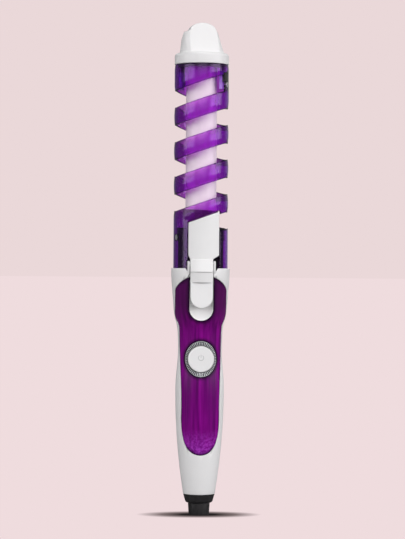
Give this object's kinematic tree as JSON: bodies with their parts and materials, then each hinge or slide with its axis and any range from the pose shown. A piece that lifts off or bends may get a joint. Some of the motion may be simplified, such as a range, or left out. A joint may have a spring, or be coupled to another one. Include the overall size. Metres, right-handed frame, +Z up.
{
  "type": "spiral hair curler",
  "caption": "Hand-held curling iron: heated barrel in a clear spiral guard, sprung clamp lever, round grip with push button, swivelling cord outlet.",
  "frame": {"origin": "centre of the cord outlet's flat lower end, at the mouth of the cord's bore", "axes": "+Z up the barrel to the tip, -Y to the front with the lever and the button, +X to the right as seen from the front"},
  "size_m": [0.038, 0.041, 0.3195],
  "materials": {
    "white_plastic": "satin moulded ABS",
    "purple_guard": "clear glossy, tinted through",
    "purple_cover": "glossy, tinted through",
    "barrel_coating": "satin ceramic coating on aluminium",
    "black_plastic": "fine matt heat-resistant plastic",
    "silver_trim": "satin plated, ribbed",
    "steel": "bright zinc plated",
    "spring_steel": "drawn spring wire",
    "aluminium": "extruded",
    "heating_ceramic": "sintered ceramic tile",
    "contact_brass": "stamped",
    "insulating_film": "polyimide film",
    "board_laminate": "solder-masked laminate",
    "component_plastic": "moulded component case",
    "wire_insulation": "silicone insulated wire",
    "led_lens": "clear tinted lens"
  },
  "bodies": {
    "handle": {"tip_cap": "white_plastic", "tip_collar": "black_plastic", "tip_screw": "steel", "spiral_guard": "purple_guard", "guard_screws": "steel", "barrel": "barrel_coating", "base_collar": "black_plastic", "heater_shell_front": "aluminium", "heater_shell_rear": "aluminium", "heater_elements": "heating_ceramic", "heater_electrodes": "contact_brass", "heater_insulation": "insulating_film", "thermal_fuse": "steel", "heater_wires": "wire_insulation", "front_shell": "white_plastic", "rear_shell": "white_plastic", "handle_cover": "purple_cover", "button_ring": "silver_trim", "handle_screws": "steel", "lever_pin": "steel", "lever_spring": "spring_steel", "button_spring": "spring_steel", "switch_body": "component_plastic", "power_led": "led_lens", "control_board": "board_laminate", "board_screws": "steel", "film_capacitor": "component_plastic", "triac": "component_plastic", "dropper_resistor": "component_plastic", "swivel_collar": "black_plastic", "contact_carrier": "black_plastic", "brush_contacts": "contact_brass", "mains_wires": "wire_insulation"},
    "lever": {"lever": "white_plastic", "clamp_pad": "black_plastic"},
    "button": {"power_button": "white_plastic", "switch_plunger": "component_plastic"},
    "cord_outlet": {"swivel_stem": "black_plastic", "slip_rings": "contact_brass"}
  },
  "joints": [
    {"name": "lever_hinge", "type": "hinge", "parent": "handle", "child": "lever", "pos_m": [0, -0.0142, 0.163], "axis": [1, 0, 0], "range_deg": [0, 9], "stiffness_Nm_per_rad": 0.15, "springref_deg": -22.92, "deforming": ["lever_spring"]},
    {"name": "button_press", "type": "slide", "parent": "handle", "child": "button", "axis": [0, 1, 0], "range_m": [0, 0.0012], "stiffness_N_per_m": 400, "springref_m": -0.002, "deforming": ["button_spring"]},
    {"name": "cord_swivel", "type": "hinge", "parent": "handle", "child": "cord_outlet", "pos_m": [0, 0, 0], "axis": [0, 0, 1], "continuous": true}
  ]
}
